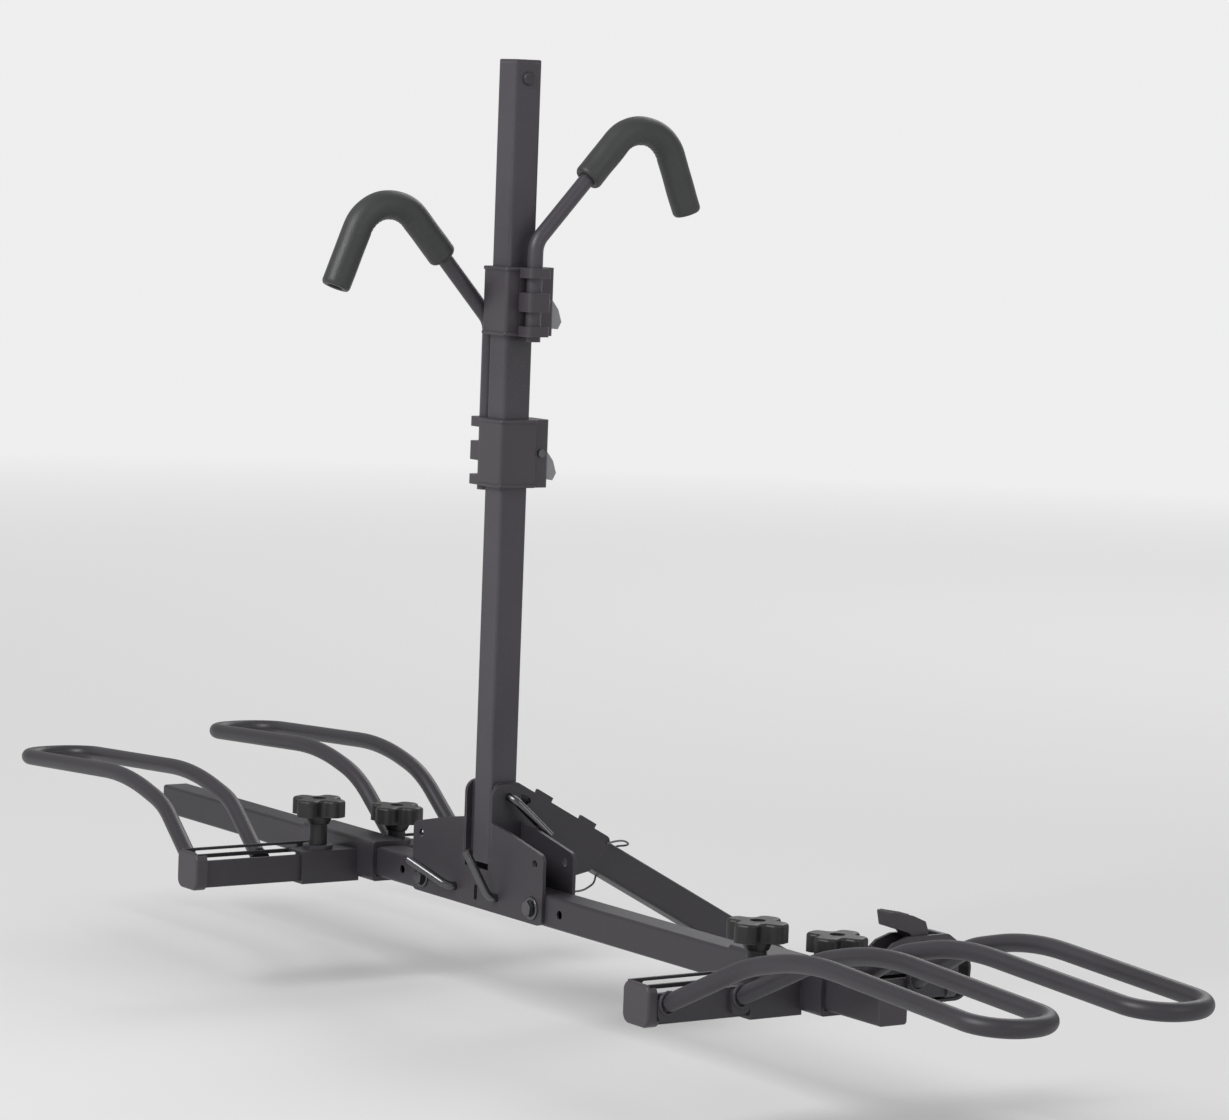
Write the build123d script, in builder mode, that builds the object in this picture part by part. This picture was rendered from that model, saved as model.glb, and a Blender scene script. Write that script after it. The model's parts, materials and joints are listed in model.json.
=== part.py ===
from build123d import *
import os
from math import cos, pi, radians, sin, tan

# Hitch bike rack for two bikes, in millimetres.
# X runs along the two arms, Y points towards the vehicle, Z runs up the mast.
# The origin is the centre of the hitch pin hole in the shank.
# Places written as (x, y, z) below are counted from the rack's own centre:
# the point where the mast's axis crosses the centreline of the arms.

os.makedirs("parts", exist_ok=True)

# Clearances
slide_gap = 0.4
side_gap = 0.3
shaft_gap = 0.05
hole_gap = 0.3

# Shank: 1-1/4 inch square tube for a receiver, tilted down from the platform
shank_size = 31.75
shank_wall = 3.0
shank_corner = 4.0
shank_tilt = 28.71
shank_rise = 92.8
shank_start = 46.0
shank_end = 427.5
hitch_hole_at = 340.0
hitch_hole_r = 6.75

# Shank bracket plates, one on each side of the shank
bracket_thickness = 4.0
bracket_margin = 3.2
bracket_outer_at = 133.0
bracket_heel_at = 112.0
bracket_heel_drop = 30.0
bracket_front = 13.0
bracket_top = 107.5
lug_length = 20.0
lug_height = 4.5
lug_places = (39.0, 98.0)

# Pivots and locks
pivot_rise = 44.0
base_bolt_r = 5.0
base_bolt_head_r = 8.5
bolt_head_height = 6.0
pin_r = 4.0
mast_pin_rise = 94.5
pin_handle_reach = 47.0
pin_handle_lean = 20.0
pin_bend_r = 12.0
left_pin_turn = 153.0
right_pin_turn = 106.0
mast_pin_turn = -48.5

# Mast
mast_size = 30.0
mast_wall = 2.0
mast_corner = 3.0
mast_top = 794.0
mast_cap_height = 3.0
mast_slot_turn = 30.0
stop_bolt_rise = 779.0
stop_bolt_r = 4.0

# Arms
arm_size = 30.0
arm_wall = 2.0
arm_corner = 3.0
arm_reach = 626.0
arm_inner = 22.0
arm_cap_thickness = 2.5
arm_pivot_at = 97.0
arm_bolt_r = 4.0
arm_bolt_head_r = 7.5
arm_slot_turn = 28.0
arm_pin_at = 36.5
fold_hole_out = 42.5
fold_angle = 85.0

# Front and rear plates, with the tall plates that stand in their notches
plate_thickness = 3.5
plate_half_width = 115.0
plate_shoulder = 52.0
plate_hip_at = 55.0
plate_hip = 65.0
plate_peak = 70.0
notch_bottom = 23.5
tall_thickness = 4.0
tall_top = 106.5

# Sleeves on the arms, with a socket on each side for a hoop bar
sleeve_wall = 4.5
sleeve_length = 137.0
left_sleeve_end = -188.0
right_sleeve_end = 552.0
bar_inset = 49.5
socket_wall = 3.5
socket_plate = 2.5
left_socket = 83.0
right_socket = 73.0
far_socket = 72.0
socket_lip = 3.0
knob_near = 56.0
knob_far = 36.0
boss_r = 15.0
boss_height = 4.2

# Hoop bars
bar_width = 33.0
bar_wall = 3.0
bar_bottom = -20.5
bar_low_top = 6.0
bar_tall_top = 14.0
bar_slot_height = 4.2
bar_slot_low = -0.6
bar_slot_high = 7.2
near_bar_length = 155.0
far_bar_length = 132.0
near_left_inner = 45.0
near_right_inner = 22.0
far_inner = 22.0
bar_cap_wall = 3.0
bar_cap_length = 12.0

# Wheel hoops
hoop_r = 8.0
hoop_gauge = 77.0
hoop_reach = 410.0
hoop_bend_at = 87.0
hoop_bend_height = 52.0
hoop_bend_r = 130.0
hoop_crest_at = 167.0
hoop_crest_height = 72.0
hoop_crest_r = 300.0
hoop_tip_height = 58.0
hoop_foot_thickness = 4.5
hoop_foot_width = 20.0
hoop_foot_height = 22.0
hoop_nut_r = 5.5
hoop_nut_height = 4.0
near_left_leg = 65.0
near_right_leg = 61.5
far_left_leg = 32.0
far_right_leg = 10.0
near_left_toe = 14.0
near_right_toe = 20.0
far_left_toe = 0.0
far_right_toe = -9.0
near_left_rise = -8.0
near_right_rise = -10.0
far_left_rise = 9.0
far_right_rise = -10.0

# Knobs
knob_span = 56.0
knob_lobe = 22.0
knob_height = 17.0
knob_stem_r = 9.0
knob_screw_r = 4.0
tight_stem = 9.0
near_lift = 20.0
far_left_lift = 8.0

# Frame clamps on the mast and their hooks
clamp_wall = 5.0
clamp_height = 65.0
upper_clamp_at = 536.0
lower_clamp_at = 391.0
rod_r = 7.5
rod_x = 29.0
rod_y = 5.3
holder_wall = 4.5
housing_depth = 16.0
lever_pin_out = 7.0
lever_rise = 33.0
lever_hub_r = 5.2
lever_pin_r = 2.5
foam_r = 14.0
foam_share = 0.56
hook_bend_rise = 89.0
hook_crest_rise = 109.0
hook_crest_r = 37.5
lower_hook_extra = 67.0

# Wheel strap on the far right bar
strap_width = 24.0
strap_thickness = 2.5
buckle_width = 27.0
paddle_width = 20.0
paddle_pivot_y = 120.0
paddle_reach = 38.0
buckle_pocket = 62.0
paddle_pin_r = 2.5

# Lanyard wire
wire_r = 1.0

arm_half = arm_size / 2
mast_half = mast_size / 2
shank_half = shank_size / 2
tilt = radians(shank_tilt)
rack_y = -hitch_hole_at * cos(tilt)
rack_z = -(shank_rise - hitch_hole_at * sin(tilt))
bracket_inner = shank_half
bracket_outer = bracket_inner + bracket_thickness
tall_inner = bracket_outer + slide_gap
tall_outer = tall_inner + tall_thickness
plate_inner = arm_half + side_gap
plate_outer = plate_inner + plate_thickness
lock_r = mast_pin_rise - pivot_rise
arm_lock_r = arm_pivot_at - arm_pin_at
sleeve_inner = arm_half + slide_gap
sleeve_outer = sleeve_inner + sleeve_wall
bar_half = bar_width / 2
socket_top = bar_low_top + slide_gap + socket_plate
boss_top = socket_top + boss_height
knob_shift = bar_wall
clamp_inner = mast_half + slide_gap
clamp_outer = clamp_inner + clamp_wall
hoop_foot_bottom = bar_bottom + 3.5
left_bar_x = left_sleeve_end - bar_inset
right_bar_x = right_sleeve_end - bar_inset
strap_x = right_bar_x + 2.5


def point(x, y, z):
    return (x, rack_y + y, rack_z + z)


def side_plane(x, y=0, z=0):
    # Looking along -X: sketch x is +Y, sketch y is +Z, extrudes towards +X
    return Plane(origin=point(x, y, z), x_dir=(0, 1, 0), z_dir=(1, 0, 0))


def front_plane(y, x=0, z=0):
    # Looking along +Y: sketch x is +X, sketch y is +Z, extrudes towards -Y
    return Plane(origin=point(x, y, z), x_dir=(1, 0, 0), z_dir=(0, -1, 0))


def level_plane(z, x=0, y=0):
    return Plane(origin=point(x, y, z), x_dir=(1, 0, 0), z_dir=(0, 0, 1))


def shank_place(along, off):
    # A point beside the shank's axis: distance along it, and height square to it
    y = along * cos(tilt) + off * sin(tilt)
    z = shank_rise - along * sin(tilt) + off * cos(tilt)
    return (y, z)


def shank_plane(along):
    y, z = shank_place(along, 0)
    return Plane(origin=point(0, y, z), x_dir=(1, 0, 0), z_dir=(0, cos(tilt), -sin(tilt)))


def save(piece, name):
    piece.part.label = name
    export_step(piece.part, f"parts/{name}.step")


# The shank and its bracket


def make_shank_tube():
    with BuildPart() as tube:
        with BuildSketch(shank_plane(shank_start)):
            RectangleRounded(shank_size, shank_size, shank_corner)
            inner = shank_size - 2 * shank_wall
            RectangleRounded(inner, inner, shank_corner - shank_wall, mode=Mode.SUBTRACT)
        extrude(amount=shank_end - shank_start)
        y, z = shank_place(hitch_hole_at, 0)
        with BuildSketch(side_plane(0, y, z)):
            Circle(hitch_hole_r)
        extrude(amount=shank_size, both=True, mode=Mode.SUBTRACT)
    save(tube, "shank_tube")


def make_shank_bracket(name, side):
    top = shank_half + bracket_margin
    lower_end = shank_place(bracket_outer_at - 8, -top)
    upper_end = shank_place(bracket_outer_at, top)
    heel = shank_place(bracket_heel_at, -bracket_heel_drop)
    crown = shank_place((bracket_top - shank_rise - top * cos(tilt)) / -sin(tilt), top)
    outline = [(-bracket_front, pivot_rise - 8), (-bracket_front, bracket_top), crown, upper_end]
    outline += [lower_end, heel, (5, pivot_rise - 15.5)]
    arc = CenterArc((0, pivot_rise), lock_r, 90 - shank_tilt, shank_tilt)
    with BuildPart() as plate:
        with BuildSketch(side_plane(side * bracket_inner)):
            with BuildLine():
                Polyline(*outline, close=True)
            make_face()
            fillet(vertices(), radius=6)
            for place in lug_places:
                middle = shank_place(place, top + lug_height / 2 - 2)
                with Locations(Location((*middle, 0), (0, 0, -shank_tilt))):
                    Rectangle(lug_length, lug_height + 4)
            with Locations((0, pivot_rise)):
                Circle(base_bolt_r + shaft_gap, mode=Mode.SUBTRACT)
            SlotArc(arc, 2 * (pin_r + hole_gap), mode=Mode.SUBTRACT)
        extrude(amount=side * bracket_thickness)
    save(plate, name)


def make_lanyard():
    route = [(20.4, 119, 42), (26, 131, 46), (22, 144, 41), (8, 151, 36), (-10, 150, 33)]
    route += [(-23, 147, 24), (-24, 139, 10), (-14, 130, 1), (0, 119, 0), (12, 108, 0)]
    route += [(17, 94, -4), (10, 81, -5), (-3, 73, 1), (-12, 69, 12), (-15.25, 67, 22)]
    places = [Vector(*point(*p)) for p in route]
    radii = []
    for before, corner, after in zip(places, places[1:], places[2:]):
        shorter = min((corner - before).length, (after - corner).length)
        turn = (corner - before).get_angle(after - corner)
        radii.append(0.45 * shorter / tan(radians(turn) / 2))
    with BuildPart() as wire:
        with BuildLine() as path:
            FilletPolyline(*places, radius=radii)
        with BuildSketch(Plane(origin=path.line @ 0, z_dir=path.line % 0)):
            Circle(wire_r)
        sweep()
    length = sum(edge.length for edge in path.edges())
    print("lanyard radii", [round(r, 1) for r in radii])
    print("lanyard length", round(length, 1))
    plain_volume = pi * wire_r**2 * length
    print("lanyard volume against section times length", round(wire.part.volume / plain_volume, 4))
    save(wire, "lanyard_wire")


# The platform: two plates that hold the arms, and two tall plates that hold the mast


def make_platform_plate(name, side):
    fold = radians(fold_angle)
    fold_x = arm_pivot_at + fold_hole_out * cos(fold)
    fold_z = fold_hole_out * sin(fold)
    half = [(tall_outer, notch_bottom), (tall_outer, plate_peak), (plate_hip_at, plate_hip)]
    half += [(plate_half_width, plate_shoulder), (plate_half_width, -arm_half)]
    outline = half + [(-x, z) for x, z in reversed(half)]
    with BuildPart() as plate:
        with BuildSketch(front_plane(side * plate_inner)):
            with BuildLine():
                Polyline(*outline, close=True)
            make_face()
            fillet(vertices().group_by(Axis.X)[0] + vertices().group_by(Axis.X)[-1], radius=8)
            with Locations((arm_pivot_at, 0), (-arm_pivot_at, 0)):
                Circle(arm_bolt_r + shaft_gap, mode=Mode.SUBTRACT)
            with Locations((arm_pin_at, 0), (-arm_pin_at, 0), (fold_x, fold_z), (-fold_x, fold_z)):
                Circle(pin_r + shaft_gap, mode=Mode.SUBTRACT)
            SlotOverall(16, 6, rotation=90, mode=Mode.SUBTRACT)
        extrude(amount=-side * plate_thickness)
    save(plate, name)


def make_tall_plate(name, side):
    with BuildPart() as plate:
        with BuildSketch(side_plane(side * tall_inner)):
            with BuildLine():
                Polyline(
                    (-plate_outer, notch_bottom + side_gap),
                    (-plate_outer, tall_top),
                    (11, tall_top),
                    (plate_outer, plate_peak),
                    (plate_outer, notch_bottom + side_gap),
                    close=True,
                )
            make_face()
            fillet(vertices().group_by(Axis.Y)[-1], radius=12)
            with Locations((0, pivot_rise)):
                Circle(base_bolt_r + shaft_gap, mode=Mode.SUBTRACT)
            with Locations((0, mast_pin_rise)):
                Circle(pin_r + shaft_gap, mode=Mode.SUBTRACT)
        extrude(amount=side * tall_thickness)
    save(plate, name)


def make_pivot_bolts():
    # Two bolts carry the arms and one long bolt carries the mast and the shank bracket
    with BuildPart() as bolts:
        for side in (-1, 1):
            with BuildSketch(front_plane(plate_outer, side * arm_pivot_at)):
                Circle(arm_bolt_r)
            extrude(amount=2 * plate_outer)
            for face_y in (-plate_outer, plate_outer + bolt_head_height):
                with BuildSketch(front_plane(face_y, side * arm_pivot_at)):
                    RegularPolygon(arm_bolt_head_r, 6, rotation=20)
                extrude(amount=bolt_head_height)
        with BuildSketch(side_plane(-tall_outer, 0, pivot_rise)):
            Circle(base_bolt_r)
        extrude(amount=2 * tall_outer)
        for face_x in (-tall_outer - bolt_head_height, tall_outer):
            with BuildSketch(side_plane(face_x, 0, pivot_rise)):
                RegularPolygon(base_bolt_head_r, 6, rotation=10)
            extrude(amount=bolt_head_height)
    save(bolts, "pivot_bolts")


def make_lock_pin(name, tip, bend, handle_end):
    places = [point(*tip), point(*bend), point(*handle_end)]
    with BuildPart() as pin:
        with BuildLine() as path:
            FilletPolyline(*places, radius=pin_bend_r)
        with BuildSketch(Plane(origin=path.line @ 0, z_dir=path.line % 0)):
            Circle(pin_r)
        sweep()
    save(pin, name)


def make_lock_pins():
    bend_y = -plate_outer - 8
    mast_turn = radians(mast_pin_turn)
    arm_pins = (("left", -arm_pin_at, left_pin_turn), ("right", arm_pin_at, right_pin_turn))
    for word, x, degrees_up in arm_pins:
        turn = radians(degrees_up)
        end = (
            x + pin_handle_reach * cos(turn),
            bend_y - pin_handle_lean,
            pin_handle_reach * sin(turn),
        )
        make_lock_pin(f"arm_pin_{word}", (x, plate_outer + 5, 0), (x, bend_y, 0), end)
    bend_x = tall_outer + 8
    end = (
        bend_x + pin_handle_lean,
        pin_handle_reach * cos(mast_turn),
        mast_pin_rise + pin_handle_reach * sin(mast_turn),
    )
    make_lock_pin("mast_pin", (-tall_outer - 5, 0, mast_pin_rise), (bend_x, 0, mast_pin_rise), end)


# The mast


def make_mast_tube():
    arc = CenterArc((0, pivot_rise), lock_r, 90 - mast_slot_turn, mast_slot_turn)
    with BuildPart() as tube:
        with BuildSketch(level_plane(pivot_rise - mast_half)):
            RectangleRounded(mast_size, mast_size, mast_corner)
            inner = mast_size - 2 * mast_wall
            RectangleRounded(inner, inner, mast_corner - mast_wall, mode=Mode.SUBTRACT)
        extrude(amount=mast_top - pivot_rise + mast_half)
        with BuildSketch(side_plane(0)):
            with Locations((0, pivot_rise)):
                Circle(base_bolt_r + shaft_gap)
            with Locations((0, stop_bolt_rise)):
                Circle(stop_bolt_r + shaft_gap)
            SlotArc(arc, 2 * (pin_r + hole_gap))
        extrude(amount=mast_size, both=True, mode=Mode.SUBTRACT)
    save(tube, "mast_tube")


def make_mast_cap():
    with BuildPart() as cap:
        with BuildSketch(level_plane(mast_top)):
            RectangleRounded(mast_size, mast_size, mast_corner)
        extrude(amount=mast_cap_height)
        fillet(cap.faces().sort_by(Axis.Z)[-1].edges(), radius=1.5)
        plug = mast_size - 2 * mast_wall - 0.2
        with BuildSketch(level_plane(mast_top)):
            RectangleRounded(plug, plug, mast_corner - mast_wall)
            RectangleRounded(plug - 4, plug - 4, 0.5, mode=Mode.SUBTRACT)
        extrude(amount=-8)
    save(cap, "mast_cap")


def make_stop_bolt():
    with BuildPart() as bolt:
        with BuildSketch(side_plane(-mast_half, 0, stop_bolt_rise)):
            Circle(stop_bolt_r)
        extrude(amount=mast_size)
        with BuildSketch(side_plane(mast_half, 0, stop_bolt_rise)):
            Circle(6.5)
        extrude(amount=3.5)
        fillet(bolt.faces().sort_by(Axis.X)[-1].edges(), radius=2.5)
        with BuildSketch(side_plane(-mast_half - 4, 0, stop_bolt_rise)):
            RegularPolygon(6.5, 6)
        extrude(amount=4)
    save(bolt, "stop_bolt")


# The arms


def make_arm(name, side):
    start = 180 - arm_slot_turn if side > 0 else 0
    arc = CenterArc((side * arm_pivot_at, 0), arm_lock_r, start, arm_slot_turn)
    with BuildPart() as arm:
        with BuildSketch(side_plane(side * arm_inner)):
            RectangleRounded(arm_size, arm_size, arm_corner)
            inner = arm_size - 2 * arm_wall
            RectangleRounded(inner, inner, arm_corner - arm_wall, mode=Mode.SUBTRACT)
        extrude(amount=side * (arm_reach - arm_inner))
        with BuildSketch(front_plane(0)):
            with Locations((side * arm_pivot_at, 0)):
                Circle(arm_bolt_r + shaft_gap)
            with Locations((side * (arm_pivot_at + fold_hole_out), 0)):
                Circle(pin_r + hole_gap)
            SlotArc(arc, 2 * (pin_r + hole_gap))
        extrude(amount=arm_size, both=True, mode=Mode.SUBTRACT)
    save(arm, name)


def make_arm_cap(name, side):
    with BuildPart() as cap:
        with BuildSketch(side_plane(side * arm_reach)):
            RectangleRounded(arm_size, arm_size, arm_corner)
        extrude(amount=side * arm_cap_thickness)
        outer = cap.faces().sort_by(Axis.X)[-1 if side > 0 else 0]
        fillet(outer.edges(), radius=1.2)
        plug = arm_size - 2 * arm_wall - 0.2
        with BuildSketch(side_plane(side * arm_reach)):
            RectangleRounded(plug, plug, arm_corner - arm_wall)
            RectangleRounded(plug - 4, plug - 4, 0.5, mode=Mode.SUBTRACT)
        extrude(amount=-side * 10)
    save(cap, name)


# The sleeves: far_closed = +1 or -1 is the side where the far socket has its wall


def make_sleeve(name, end_x, near_reach, far_closed):
    bar_x = end_x - bar_inset
    low = bar_bottom - slide_gap
    wall_face = bar_half + slide_gap
    with BuildPart() as sleeve:
        with BuildSketch(side_plane(end_x - sleeve_length)):
            RectangleRounded(2 * sleeve_outer, 2 * sleeve_outer, 4)
            RectangleRounded(2 * sleeve_inner, 2 * sleeve_inner, 2, mode=Mode.SUBTRACT)
        extrude(amount=sleeve_length)
        for way, closed, reach, knob_y in (
            (-1, 1, near_reach, knob_near),
            (1, far_closed, far_socket, knob_far),
        ):
            start = sleeve_outer - 2
            edge = -closed * (bar_half - bar_wall - slide_gap)
            back = closed * (wall_face + socket_wall)
            lip = -closed * (wall_face + socket_plate)
            outline = [
                (lip, low - socket_plate),
                (back, low - socket_plate),
                (back, socket_top),
                (edge, socket_top),
                (edge, socket_top - socket_plate),
                (closed * wall_face, socket_top - socket_plate),
                (closed * wall_face, low),
                (-closed * wall_face, low),
                (-closed * wall_face, low + socket_lip),
                (lip, low + socket_lip),
            ]
            with BuildSketch(front_plane(way * start, bar_x)):
                with BuildLine():
                    Polyline(*outline, close=True)
                make_face()
            extrude(amount=-way * (reach - start))
            with BuildSketch(level_plane(socket_top - 1, bar_x + closed * knob_shift, way * knob_y)):
                Circle(boss_r)
            extrude(amount=boss_height + 1)
            with BuildSketch(level_plane(0, bar_x + closed * knob_shift, way * knob_y)):
                Circle(knob_screw_r + shaft_gap)
            extrude(amount=boss_top + 1, mode=Mode.SUBTRACT)
    save(sleeve, name)


# The hoop bars: way = -1 or +1 along Y, tall = side of the tall slotted wall


def make_bar(name, bar_x, way, inner, length, tall):
    low_side = -tall
    outline = [
        (tall * bar_half, bar_bottom),
        (tall * bar_half, bar_tall_top),
        (tall * (bar_half - bar_wall), bar_tall_top),
        (tall * (bar_half - bar_wall), bar_bottom + bar_wall),
        (low_side * (bar_half - bar_wall), bar_bottom + bar_wall),
        (low_side * (bar_half - bar_wall), bar_low_top),
        (low_side * bar_half, bar_low_top),
        (low_side * bar_half, bar_bottom),
    ]
    slot_length = length - 38
    slot_middle = way * (inner + length / 2 + 6)
    with BuildPart() as bar:
        with BuildSketch(front_plane(way * inner, bar_x)):
            with BuildLine():
                Polyline(*outline, close=True)
            make_face()
        extrude(amount=-way * length)
        with BuildSketch(side_plane(bar_x + tall * bar_half, slot_middle)):
            rows = (bar_slot_low + bar_slot_height / 2, bar_slot_high + bar_slot_height / 2)
            with Locations((0, rows[0]), (0, rows[1])):
                SlotOverall(slot_length, bar_slot_height)
        extrude(amount=-tall * (bar_wall + 1), mode=Mode.SUBTRACT)
    save(bar, name)


def make_bar_cap(name, bar_x, way, inner, length, out, leg):
    outer_end = inner + length
    width = bar_width + 2 * bar_cap_wall
    height = bar_tall_top - bar_bottom + bar_cap_wall
    middle = (bar_tall_top + bar_bottom - bar_cap_wall) / 2
    foot_edge = inner + leg + hoop_gauge + hoop_foot_width / 2 + side_gap
    with BuildPart() as cap:
        with BuildSketch(front_plane(way * (outer_end - bar_cap_length + bar_cap_wall), bar_x, middle)):
            RectangleRounded(width, height, 9)
        extrude(amount=-way * bar_cap_length)
        end_face = cap.faces().sort_by(Axis.Y)[-1 if way > 0 else 0]
        fillet(end_face.edges(), radius=2.5)
        with BuildSketch(front_plane(way * (outer_end - bar_cap_length - 1), bar_x)):
            with Locations((0, (bar_bottom + 40) / 2)):
                Rectangle(bar_width, 40 - bar_bottom)
        extrude(amount=-way * (bar_cap_length + 1), mode=Mode.SUBTRACT)
        with BuildSketch(front_plane(way * foot_edge, bar_x + out * (bar_half + bar_cap_wall))):
            with Locations((0, (hoop_foot_bottom - side_gap + 40) / 2)):
                Rectangle(2 * bar_cap_wall, 40 - hoop_foot_bottom + side_gap)
        extrude(amount=way * hoop_foot_width, mode=Mode.SUBTRACT)
    save(cap, name)


# The wheel hoops: out = direction in X, toe and rise = how far the loop stands aside and up


def hoop_places(face_x, out, leg, toe, rise):
    gauge = hoop_gauge if leg > 0 else -hoop_gauge
    start_x = hoop_foot_thickness + 0.5
    profile = [(start_x, -1.5), (hoop_bend_at, hoop_bend_height + rise)]
    profile += [(hoop_crest_at, hoop_crest_height + rise), (hoop_reach, hoop_tip_height + rise)]
    there = [(x, leg + toe * min(1, x / hoop_bend_at), z) for x, z in profile]
    back = [(x, y + gauge, z) for x, y, z in reversed(there)]
    return [point(face_x + out * x, y, z) for x, y, z in there + back]


def make_hoop(name, face_x, out, leg, toe, rise):
    gauge = hoop_gauge if leg > 0 else -hoop_gauge
    foot_z = hoop_foot_bottom + hoop_foot_height / 2
    end_r = hoop_gauge / 2 - 2
    with BuildPart() as hoop:
        with BuildLine() as path:
            places = hoop_places(face_x, out, leg, toe, rise)
            radii = [hoop_bend_r, hoop_crest_r, end_r]
            FilletPolyline(*places, radius=radii + radii[::-1])
        with BuildSketch(Plane(origin=path.line @ 0, z_dir=path.line % 0)):
            Circle(hoop_r)
        sweep()
        with BuildSketch(side_plane(face_x, 0, foot_z)):
            with Locations((leg, 0), (leg + gauge, 0)):
                RectangleRounded(hoop_foot_width, hoop_foot_height, 6)
        extrude(amount=out * hoop_foot_thickness)
        with BuildSketch(side_plane(face_x, 0, foot_z)):
            with Locations((leg, 0), (leg + gauge, 0)):
                Rectangle(4 * hoop_r, 4 * hoop_foot_height)
        extrude(amount=-out * 2 * hoop_r, mode=Mode.SUBTRACT)
    save(hoop, name)


def make_hoop_bolts(name, face_x, out, leg):
    gauge = hoop_gauge if leg > 0 else -hoop_gauge
    with BuildPart() as bolts:
        with BuildSketch(side_plane(face_x - out * bar_wall, 0, bar_bottom + bar_wall + 6)):
            with Locations((leg, 0), (leg + gauge, 0)):
                RegularPolygon(hoop_nut_r, 6)
        extrude(amount=-out * hoop_nut_height)
    save(bolts, name)


# The knobs


def make_knob(name, x, y, stem):
    head = boss_top + side_gap + stem
    with BuildPart() as knob:
        with BuildSketch(level_plane(head, x, y)):
            RectangleRounded(knob_span, knob_lobe, 8, rotation=25)
            RectangleRounded(knob_lobe, knob_span, 8, rotation=25)
            inner = vertices().sort_by(SortBy.DISTANCE)[:4]
            fillet(inner, radius=5)
        extrude(amount=knob_height)
        fillet(knob.faces().sort_by(Axis.Z)[-1].edges(), radius=3)
        with BuildSketch(level_plane(head - stem, x, y)):
            Circle(knob_stem_r)
        extrude(amount=stem)
        with BuildSketch(level_plane(head + knob_height, x, y)):
            Circle(7)
        extrude(amount=-4, mode=Mode.SUBTRACT)
        with BuildSketch(level_plane(head - stem, x, y)):
            Circle(knob_screw_r)
        extrude(amount=stem + 6, mode=Mode.SUBTRACT)
    save(knob, name)


def make_knob_screw(name, x, y, stem, lift):
    foot = bar_bottom + bar_wall + side_gap + lift
    top = boss_top + side_gap + stem + 6
    with BuildPart() as screw:
        with BuildSketch(level_plane(foot, x, y)):
            Circle(knob_screw_r)
        extrude(amount=top - foot)
        with BuildSketch(level_plane(foot, x, y)):
            Circle(knob_screw_r + 2)
        extrude(amount=3)
    save(screw, name)


# The frame clamps: side = +1 or -1 is where the hook rod stands


def make_clamp(name, side, bottom):
    middle = bottom + clamp_height / 2
    top = bottom + clamp_height
    lever_z = bottom + lever_rise
    holder_outer = rod_x + rod_r + holder_wall
    with BuildPart() as clamp:
        with BuildSketch(level_plane(bottom)):
            RectangleRounded(2 * clamp_outer, 2 * clamp_outer, 3)
        extrude(amount=clamp_height)
        with BuildSketch(level_plane(bottom)):
            with Locations((0, clamp_outer + housing_depth / 2 - 2)):
                RectangleRounded(2 * clamp_outer - 6, housing_depth + 4, 4)
        extrude(amount=clamp_height)
        with BuildSketch(level_plane(bottom)):
            with Locations((side * (clamp_outer + holder_outer) / 2 - side, side * rod_y)):
                RectangleRounded(holder_outer - clamp_outer + 2, 2 * (rod_r + holder_wall), 4)
        extrude(amount=clamp_height)
        with BuildSketch(level_plane(bottom - 1)):
            RectangleRounded(2 * clamp_inner, 2 * clamp_inner, 2)
            with Locations((side * rod_x, side * rod_y)):
                Circle(rod_r + shaft_gap)
        extrude(amount=clamp_height + 2, mode=Mode.SUBTRACT)
        window = side_plane(side * (clamp_outer + 1), side * rod_y, middle)
        with BuildSketch(window):
            with Locations((0, 16), (0, -16)):
                Rectangle(4 * rod_r, 14)
        extrude(amount=side * (holder_outer - clamp_outer), mode=Mode.SUBTRACT)
        with BuildSketch(side_plane(0, clamp_outer + housing_depth / 2 + 2, lever_z)):
            Rectangle(housing_depth + 2, 26)
        extrude(amount=9, both=True, mode=Mode.SUBTRACT)
        with BuildSketch(side_plane(0, clamp_outer + lever_pin_out, lever_z)):
            Circle(lever_pin_r)
        extrude(amount=clamp_outer, both=True, mode=Mode.SUBTRACT)
    save(clamp, name)


def make_lever(name, bottom):
    pin_y = clamp_outer + lever_pin_out
    lever_z = bottom + lever_rise
    blade = [(0, lever_hub_r), (9.5, 5), (20, -8), (24, -20), (20, -27), (9.6, -25)]
    blade += [(9.6, -12), (0, -lever_hub_r)]
    with BuildPart() as lever:
        with BuildSketch(side_plane(-8.5, pin_y, lever_z)):
            Circle(lever_hub_r)
            with BuildLine():
                Polyline(*blade, close=True)
            make_face()
        extrude(amount=17)
        with BuildSketch(side_plane(-9, pin_y, lever_z)):
            Circle(lever_pin_r + shaft_gap)
        extrude(amount=18, mode=Mode.SUBTRACT)
    save(lever, name)


def make_lever_pin(name, bottom):
    half = clamp_outer - 3
    with BuildPart() as pin:
        with BuildSketch(side_plane(-half - 2, clamp_outer + lever_pin_out, bottom + lever_rise)):
            Circle(lever_pin_r)
        extrude(amount=2 * half + 4)
        for face_x in (-half - 2, half):
            with BuildSketch(side_plane(face_x, clamp_outer + lever_pin_out, bottom + lever_rise)):
                Circle(4)
            extrude(amount=2)
    save(pin, name)


def hook_places(side, bottom, extra):
    # From the rod's foot up past the clamp, out over the bike's frame and down again
    bend = bottom + hook_bend_rise + extra
    crest = bend + hook_crest_rise
    shape = [(rod_y, bottom - 5), (rod_y, bend), (105, crest), (148, crest)]
    shape += [(178, bend + 35)]
    return [point(side * rod_x, side * y, z) for y, z in shape]


def make_hook_rod(name, side, bottom, extra):
    places = hook_places(side, bottom, extra)
    with BuildPart() as rod:
        with BuildLine() as path:
            FilletPolyline(*places, radius=[24, hook_crest_r, hook_crest_r])
        with BuildSketch(Plane(origin=path.line @ 0, z_dir=path.line % 0)):
            Circle(rod_r)
        sweep()
    save(rod, name)


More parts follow.
